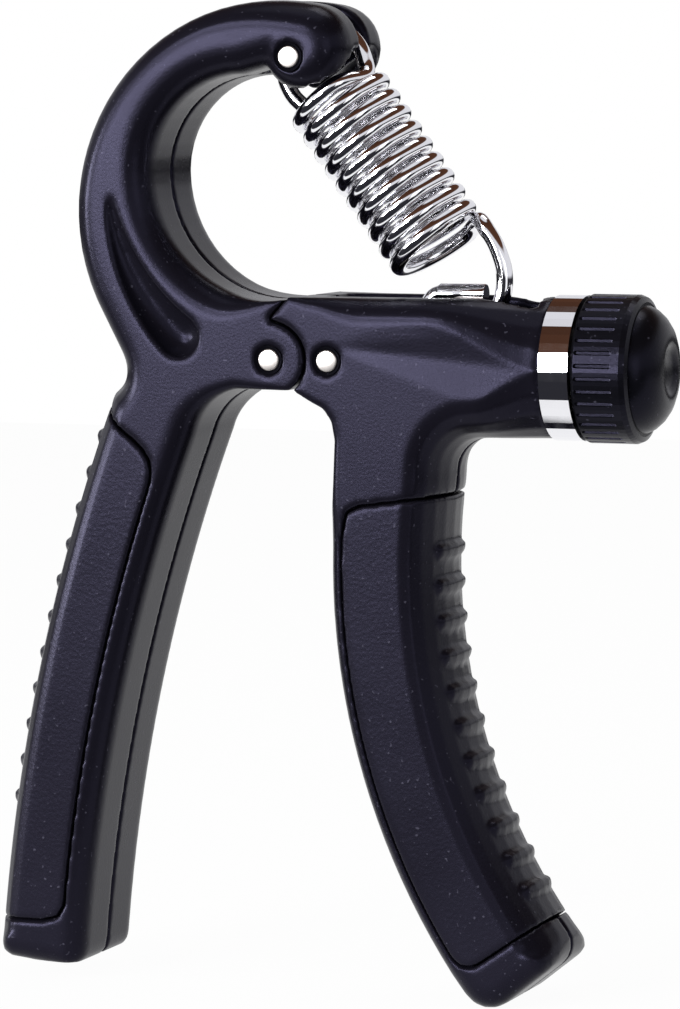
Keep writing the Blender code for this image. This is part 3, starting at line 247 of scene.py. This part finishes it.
def tube(name, route, radius, sides, finish):
    """A round wire along a route of points, closed flat at both ends."""
    bm = bmesh.new()
    along = (route[1] - route[0]).normalized()
    across = Vector((0, 1, 0))
    across = (across - along * across.dot(along)).normalized()
    turn = Matrix((along.cross(across), across, along)).transposed().to_4x4()
    turn.translation = route[0]
    bmesh.ops.create_circle(bm, segments=sides, radius=radius, matrix=turn, cap_ends=False)
    edges = bm.edges[:]
    for i in range(1, len(route)):
        ahead = (route[min(i + 1, len(route) - 1)] - route[i - 1]).normalized()
        grown = bmesh.ops.extrude_edge_only(bm, edges=edges)["geom"]
        ring = [g for g in grown if isinstance(g, bmesh.types.BMVert)]
        edges = [g for g in grown if isinstance(g, bmesh.types.BMEdge)]
        rotation = along.rotation_difference(ahead).to_matrix()
        bmesh.ops.translate(bm, verts=ring, vec=route[i] - route[i - 1])
        bmesh.ops.rotate(bm, verts=ring, cent=route[i], matrix=rotation)
        along = ahead
    bmesh.ops.holes_fill(bm, edges=bm.edges[:], sides=0)
    return mesh_object(name, bm, finish)


ALONG_ARM = Vector((1, 0, 0))
ALONG_PIN = Vector((0, 1, 0))


def turned(name, profile, centre, axis, sides, finish, crease=CREASE):
    """A profile of (radius, distance along the axis) in millimetres, spun once round an axis through centre."""
    out = Vector((0, 0, 1))
    bm = bmesh.new()
    verts = [bm.verts.new(centre + (out * r + axis * x) * MM) for r, x in profile]
    edges = [bm.edges.new(pair) for pair in zip(verts, verts[1:])]
    bmesh.ops.spin(bm, geom=verts + edges, cent=centre, axis=axis, angle=math.tau, steps=sides, use_merge=True)
    return mesh_object(name, bm, finish, crease)


# The spring. Offsets are in millimetres, from the anchor pin above and from the nut's hook pin below.

COIL_TOP = ANCHOR + Vector((3.5, 0, -5.6)) * MM
COIL_FOOT = HOOK + Vector((-5.25, 0, 10.85)) * MM
LOOP_CENTRE = ANCHOR + Vector((2.0, 0, -2.1)) * MM
LOOP_RADIUS = 7.0 * MM
# Degrees up from the arm's direction, between which the loop runs over the top of the pin.
LOOP_START, LOOP_END = 236, 12
LOWER_HOOK = ((2.6, 13.9), (3.7, 12.2), (4.6, 10.2), (5.3, 8.0), (5.5, 5.6), (5.1, 3.2), (4.2, 1.0), (3.0, -1.2),
              (0.9, -3.0), (-3.9, -3.1), (-6.6, -2.0), (-7.8, 0.4), (-7.1, 2.7), (-5.6, 3.7), (-3.4, 3.75),
              (1.0, 3.75))
TAIL_HEIGHT = LOWER_HOOK[-1][1]
SLEEVE = ((0.0, -5.9), (1.2, -5.9), (1.7, -5.3), (1.7, 2.3), (1.6, 2.4), (1.0, 2.42), (0.0, 2.3))

# Points for each turn of the coil, and the shares of a turn that the bends at its two ends take the place of.
TURN_STEPS = 28
LEAD_IN, LEAD_OUT = 0.22, 0.17
BEND_STEPS = 12
WIRE_SIDES = 16
# The spring's two pieces meet this many turns above the coil's foot.
MEET_TURNS = 1.2


def bend(start, heading, end, arrival, reach):
    """The points between two ends of a smooth bend that leaves along heading and comes in along arrival."""
    first, second = start + heading.normalized() * reach, end - arrival.normalized() * reach
    made = []
    for i in range(1, BEND_STEPS):
        t = i / BEND_STEPS
        near = start * (1 - t) ** 3 + first * 3 * t * (1 - t) ** 2
        made.append(near + second * 3 * t * t * (1 - t) + end * t ** 3)
    return made


def spring_route(radius, turns):
    """The wire's middle: the loop round the anchor pin, the coil, and the hook on the nut's pin.

    Gives the points, and how many of them come before the hook.
    """
    down = (COIL_FOOT - COIL_TOP).normalized()
    right = Vector((-down.z, 0, down.x))
    front = Vector((0, -1, 0))
    pitch = (COIL_FOOT - COIL_TOP).length / turns
    loop = []
    count = TURN_STEPS * 6 // 10
    for i in range(count + 1):
        turn = math.radians(LOOP_START + (LOOP_END - LOOP_START) * i / count)
        loop.append(LOOP_CENTRE + Vector((math.cos(turn), 0, math.sin(turn))) * LOOP_RADIUS)
    coil = []
    for i in range(int(TURN_STEPS * LEAD_IN), int(turns * TURN_STEPS - TURN_STEPS * LEAD_OUT)):
        turn = math.tau * i / TURN_STEPS
        centre = COIL_TOP + down * (pitch * i / TURN_STEPS)
        coil.append(centre + (right * math.cos(turn) + front * math.sin(turn)) * radius)
    hook = [HOOK + Vector((x, 0, z)) * MM for x, z in LOWER_HOOK]
    above = loop + bend(loop[-1], loop[-1] - loop[-2], coil[0], coil[1] - coil[0], 4.6 * MM) + coil
    below = bend(coil[-1], coil[-1] - coil[-2], hook[0], hook[1] - hook[0], 4.4 * MM) + hook
    return above + below, len(above)


def smooth_route(points, per_gap):
    """A Catmull-Rom curve through the points."""
    made = []
    for i in range(len(points) - 1):
        p0, p1 = points[max(i - 1, 0)], points[i]
        p2, p3 = points[i + 1], points[min(i + 2, len(points) - 1)]
        for step in range(per_gap):
            t = step / per_gap
            made.append(0.5 * (2 * p1 + (p2 - p0) * t + (2 * p0 - 5 * p1 + 4 * p2 - p3) * t ** 2
                               + (3 * p1 - p0 - 3 * p2 + p3) * t ** 3))
    made.append(points[-1])
    return made


class GripperSizes(bpy.types.PropertyGroup):
    """Sizes of the pieces that the scene adds."""
    wire_radius: bpy.props.FloatProperty(
        name="Wire radius", description="Half the spring wire's thickness", default=1.36 * MM, unit="LENGTH")
    coil_radius: bpy.props.FloatProperty(
        name="Coil radius", description="From the coil's axis to the wire's middle", default=7.35 * MM,
        unit="LENGTH")
    coil_turns: bpy.props.IntProperty(name="Turns", description="Turns of wire in the coil", default=10)
    shell_voxel: bpy.props.FloatProperty(
        name="Shell detail", description="Cell size of the shells' remesh", default=0.5 * MM, unit="LENGTH")
    pad_voxel: bpy.props.FloatProperty(
        name="Pad detail", description="Cell size of the pads' remesh", default=0.4 * MM, unit="LENGTH")


def colour_property(name, description, hex_value):
    """A colour that the user can change."""
    return bpy.props.FloatVectorProperty(name=name, description=description, subtype="COLOR", size=4, min=0.0,
                                         max=1.0, default=linear(hex_value))


class GripperColours(bpy.types.PropertyGroup):
    """Base colours of the finishes."""
    shell: colour_property("Shells", "Moulded ABS of the frame and the handle", "0d0c12")
    pad: colour_property("Grip pads", "Soft TPR of the two pads", "0e0d13")
    knob: colour_property("Knob", "ABS of the tension knob and its cap", "08080b")
    chrome: colour_property("Chrome", "Plate on the spring and the ferrule", "eeeef2")
    steel: colour_property("Steel", "Pins and inner fittings", "cfcac7")
    nylon: colour_property("Nylon", "Bushes and washers", "b9b5a8")


class GRIPPER_OT_shells(bpy.types.Operator):
    """Softens and paints the moulded half shells"""
    bl_idname = "gripper.shells"
    bl_label = "Shells"

    def execute(self, context):
        for node in ("frame_front_shell", "frame_back_shell", "handle_front_shell", "handle_back_shell"):
            soften(node, context.scene.gripper_sizes.shell_voxel)
            paint(node, material("abs"))
        return {"FINISHED"}


class GRIPPER_OT_pads(bpy.types.Operator):
    """Softens and paints the grip pads"""
    bl_idname = "gripper.pads"
    bl_label = "Grip pads"

    def execute(self, context):
        for node in ("frame_grip_pad", "handle_grip_pad"):
            soften(node, context.scene.gripper_sizes.pad_voxel)
            paint(node, material("tpr"))
        return {"FINISHED"}


class GRIPPER_OT_spring(bpy.types.Operator):
    """Builds the spring as an upper and a lower piece that meet in the coil, and the sleeve on its tail"""
    bl_idname = "gripper.spring"
    bl_label = "Spring"

    def execute(self, context):
        sizes = context.scene.gripper_sizes
        points, hook_start = spring_route(sizes.coil_radius, sizes.coil_turns)
        split = hook_start - int(TURN_STEPS * MEET_TURNS)
        above = smooth_route(points[:split + 1], 2)
        below = smooth_route(points[split:hook_start], 2) + smooth_route(points[hook_start - 1:], 6)[1:]
        upper = tube("spring_upper", above, sizes.wire_radius, WIRE_SIDES, material("chrome"))
        lower = tube("spring_lower", below, sizes.wire_radius, WIRE_SIDES, material("chrome"))
        # The hook's tail is pinched into a short tube.
        sleeve = turned("hook_sleeve", SLEEVE, HOOK + Vector((0, 0, TAIL_HEIGHT)) * MM, ALONG_ARM, 40,
                        material("chrome"))
        for piece in (upper, lower, sleeve):
            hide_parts("extension_spring")
        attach(sleeve, "travelling_nut")
        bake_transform(upper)
        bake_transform(lower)
        return {"FINISHED"}


# Each pin ends in a flat riveted face in a recess, as (radius, depth below the part's face) in millimetres.
PIN_RECESS = ((1.8, 0.9), (1.8, 0.5), (1.95, 0.25), (2.25, 0.06), (2.38, -0.04), (2.38, 0.25), (2.2, 0.9),
              (1.8, 0.9))
PIN_RIVET = ((0.0, 0.02), (1.55, 0.06), (1.7, 0.12), (1.78, 0.24), (1.78, 0.9), (0.0, 0.9))
# The recess rings take the near-black finish, which is painted shade for the gap round each pin.
PIN_ENDS = (("recess", PIN_RECESS, "recess", "shell_black"), ("rivet", PIN_RIVET, "steel", "pin_steel"))
PIN_BODIES = (("pivot_pin", "frame"), ("spring_anchor_pin", "frame"), ("hinge_plate_pin", "moving_handle"))


class GRIPPER_OT_fittings(bpy.types.Operator):
    """Finishes the pins' ends, and paints the pins, the ferrule and the inner parts"""
    bl_idname = "gripper.fittings"
    bl_label = "Metal fittings"

    def execute(self, context):
        for node in ("pivot_pin", "spring_anchor_pin", "hinge_plate_pin", "hinge_plate", "adjusting_screw",
                     "knob_lock_nut", "adjuster_nut", "spring_hook_pin", "thrust_washer"):
            paint(node, material("steel"))
        paint("chrome_ferrule", material("chrome"))
        face = HALF_DEPTH / MM
        for pin, body in PIN_BODIES:
            for side, label in ((-1, "front"), (1, "back")):
                for kind, profile, finish, record_slot in PIN_ENDS:
                    ring = turned(f"{pin}_{kind}_{label}", [(r, side * (face - depth)) for r, depth in profile],
                                  box_centre(pin), ALONG_PIN, 48, material(finish))
                    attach(ring, body)
        for node in ("pivot_bush", "pivot_washer_front", "pivot_washer_back", "screw_tip_bush",
                     "screw_sleeve_bush"):
            paint(node, material("nylon"))
        return {"FINISHED"}


# The cap's outline, as (millimetres in from its rim, share of its height).
CAP_OUTLINE = ((0.0, 0.34), (0.15, 0.45), (0.7, 0.6), (1.7, 0.76), (3.0, 0.89), (4.4, 0.97), (5.6, 1.0),
               (6.6, 0.985), (7.3, 0.93), (7.9, 0.9))
CAP_DISH = 0.89


class GRIPPER_OT_knob(bpy.types.Operator):
    """Paints the ribbed knob and builds its cushion-shaped cap, with a shallow bare dish in the middle"""
    bl_idname = "gripper.knob"
    bl_label = "Tension knob"

    def execute(self, context):
        paint("knob_grip", material("knob"))
        low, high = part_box("knob_end_cap")
        centre = Vector((low.x, (low.y + high.y) / 2, (low.z + high.z) / 2))
        edge, rise = (high.z - low.z) / 2 / MM, (high.x - low.x) / MM
        rim = [(0.0, 0.0), (edge - 0.5, 0.0), (edge, 0.4)]
        dome = [(edge - inward, rise * share) for inward, share in CAP_OUTLINE]
        cap = turned("knob_cap_shell", rim + dome + [(0.0, rise * CAP_DISH)], centre, ALONG_ARM, 96,
                     material("knob"), crease=60)
        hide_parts("knob_end_cap")
        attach(cap, "tension_knob")
        return {"FINISHED"}


# The stage

# How white the paper and the room are to the camera and to reflections. The rest of the paper takes the shadow.
PAPER_GLOW = 0.965
ROOM_GLOSS = 0.9
ROOM_FILL = 0.32
# The room in reflections, by height: a dark table edge, pale walls, a brown band overhead, a pale ceiling.
ROOM_BANDS = ((0.0, "303036"), (0.06, "f2f2f6"), (0.42, "f2f2f6"), (0.47, "5c3c2c"), (0.9, "4a3024"),
              (0.94, "f2f2f6"))
# Name, place from the middle of the part in metres, width, height and watts.
LAMPS = (("key left", (-0.40, -0.98, 0.09), 0.5, 0.15, 7.6),
         ("raised left", (-0.42, -0.92, 0.42), 0.45, 0.15, 4.6),
         ("side left", (-0.86, -0.60, 0.08), 0.35, 0.2, 8.0),
         ("fill right", (0.80, -0.80, 0.10), 0.5, 0.6, 1.0),
         ("top", (0.1, 0.45, 1.0), 0.5, 0.4, 1.6))
FLOOR_SIZE = (1.8, 1.28)
FLOOR_CENTRE = (0.0, 0.56, -0.0002)
# The photograph's view: degrees round from the front, degrees up, metres away, and the lens in millimetres.
VIEW_AROUND, VIEW_UP, VIEW_DISTANCE = 20, 5, 0.8
VIEW_LENS = 257.7


def paper_material():
    """White paper. The camera and reflections see it near white, and it still takes the object's soft shadow."""
    made, tree, _ = new_material("white paper floor")
    path = add_node(tree, "ShaderNodeLightPath")
    seen = add_node(tree, "ShaderNodeMath", {"operation": "MAXIMUM"},
                    {0: (path, "Is Camera Ray"), 1: (path, "Is Glossy Ray")})
    through = add_node(tree, "ShaderNodeMath", {"operation": "MAXIMUM"},
                       {0: (seen, "Value"), 1: (path, "Is Transmission Ray")})
    share = add_node(tree, "ShaderNodeMath", {"operation": "MULTIPLY", 1: PAPER_GLOW}, {0: (through, "Value")})
    paper = add_node(tree, "ShaderNodeBsdfDiffuse", {"Color": linear("f4f4f4")})
    light = add_node(tree, "ShaderNodeEmission", {"Color": WHITE, "Strength": 1.0})
    mix = add_node(tree, "ShaderNodeMixShader",
                   links={"Fac": (share, "Value"), 1: (paper, "BSDF"), 2: (light, "Emission")})
    add_node(tree, "ShaderNodeOutputMaterial", links={"Surface": (mix, "Shader")})
    return made


def lay_floor():
    """The sheet of paper that the part stands on."""
    bm = bmesh.new()
    bmesh.ops.create_grid(bm, x_segments=1, y_segments=1, size=0.5)
    bmesh.ops.scale(bm, verts=bm.verts[:], vec=(*FLOOR_SIZE, 1.0))
    bmesh.ops.translate(bm, verts=bm.verts[:], vec=FLOOR_CENTRE)
    data = bpy.data.meshes.new("floor")
    bm.to_mesh(data)
    bm.free()
    data.materials.append(paper_material())
    floor = bpy.data.objects.new("floor", data)
    bpy.context.scene.collection.objects.link(floor)


def build_room():
    """The world: white to the camera, a plain fill for matt surfaces, and a banded room in reflections."""
    world = bpy.data.worlds.new("studio")
    world.use_nodes = True
    tree = world.node_tree
    tree.nodes.clear()
    coords = add_node(tree, "ShaderNodeTexCoord")
    split = add_node(tree, "ShaderNodeSeparateXYZ", links={"Vector": (coords, "Generated")})
    ramp = add_node(tree, "ShaderNodeValToRGB", links={"Fac": (split, "Z")})
    bands = ramp.color_ramp.elements
    for stop, (height, tone) in zip(bands, ROOM_BANDS):
        stop.position = height
        stop.color = linear(tone)
    for height, tone in ROOM_BANDS[2:]:
        bands.new(height).color = linear(tone)
    path = add_node(tree, "ShaderNodeLightPath")
    seen = add_node(tree, "ShaderNodeBackground", {"Color": WHITE, "Strength": 1.0})
    mirrored = add_node(tree, "ShaderNodeBackground", {"Strength": ROOM_GLOSS}, {"Color": (ramp, "Color")})
    fill = add_node(tree, "ShaderNodeBackground", {"Color": WHITE, "Strength": ROOM_FILL})
    soft = add_node(tree, "ShaderNodeMixShader",
                    links={"Fac": (path, "Is Diffuse Ray"), 1: (mirrored, "Background"), 2: (fill, "Background")})
    mix = add_node(tree, "ShaderNodeMixShader",
                   links={"Fac": (path, "Is Camera Ray"), 1: (soft, "Shader"), 2: (seen, "Background")})
    add_node(tree, "ShaderNodeOutputWorld", links={"Surface": (mix, "Shader")})
    bpy.context.scene.world = world


def hang_lamp(name, spot, target, width, height, power):
    """A soft rectangular lamp that faces the target."""
    data = bpy.data.lights.new(name, "AREA")
    data.shape = "RECTANGLE"
    data.size, data.size_y = width, height
    data.energy = power
    lamp = bpy.data.objects.new(name, data)
    lamp.location = spot
    lamp.rotation_euler = (target - spot).to_track_quat("-Z", "Y").to_euler()
    bpy.context.scene.collection.objects.link(lamp)


def set_camera(target):
    """The camera at the photograph's viewing angle."""
    around, up = math.radians(VIEW_AROUND), math.radians(VIEW_UP)
    back = Vector((math.sin(around) * math.cos(up), -math.cos(around) * math.cos(up), math.sin(up)))
    lens = bpy.data.cameras.new("camera")
    lens.sensor_fit = "HORIZONTAL"
    lens.sensor_width = 36
    lens.lens = VIEW_LENS
    lens.clip_start, lens.clip_end = 0.05, 20
    camera = bpy.data.objects.new("camera", lens)
    camera.location = target + back * VIEW_DISTANCE
    camera.rotation_euler = back.to_track_quat("Z", "Y").to_euler()
    bpy.context.scene.collection.objects.link(camera)
    bpy.context.scene.camera = camera


class GRIPPER_OT_stage(bpy.types.Operator):
    """Makes the floor, the room, the lamps and the camera"""
    bl_idname = "gripper.stage"
    bl_label = "Stage"

    def execute(self, context):
        lay_floor()
        build_room()
        middle = place(0, -20)
        for name, offset, width, height, power in LAMPS:
            hang_lamp(name, middle + Vector(offset), middle, width, height, power)
        set_camera(place(7.77, -24.31, 0.56))
        context.scene.view_settings.view_transform = "Standard"
        return {"FINISHED"}


class GRIPPER_PT_panel(bpy.types.Panel):
    """Lists the gripper's sizes, colours and operators"""
    bl_idname = "GRIPPER_PT_panel"
    bl_label = "Hand Gripper"
    bl_space_type = "VIEW_3D"
    bl_region_type = "UI"
    bl_category = "Gripper"

    def draw(self, context):
        for field in GripperSizes.__annotations__:
            self.layout.prop(context.scene.gripper_sizes, field)
        for field in GripperColours.__annotations__:
            self.layout.prop(context.scene.gripper_colours, field)
        for operator in OPERATORS:
            self.layout.operator(operator.bl_idname)


OPERATORS = (GRIPPER_OT_shells, GRIPPER_OT_pads, GRIPPER_OT_spring, GRIPPER_OT_fittings, GRIPPER_OT_knob,
             GRIPPER_OT_stage)
CLASSES = (GripperSizes, GripperColours, *OPERATORS, GRIPPER_PT_panel)


def register():
    for one in CLASSES:
        bpy.utils.register_class(one)
    bpy.types.Scene.gripper_sizes = bpy.props.PointerProperty(type=GripperSizes)
    bpy.types.Scene.gripper_colours = bpy.props.PointerProperty(type=GripperColours)


def unregister():
    del bpy.types.Scene.gripper_sizes
    del bpy.types.Scene.gripper_colours
    MATERIALS.clear()
    for one in reversed(CLASSES):
        bpy.utils.unregister_class(one)


def main():
    """Registers the add-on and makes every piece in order."""
    register()
    for operator in OPERATORS:
        group, name = operator.bl_idname.split(".")
        getattr(getattr(bpy.ops, group), name)()


if __name__ == "__main__":
    main()
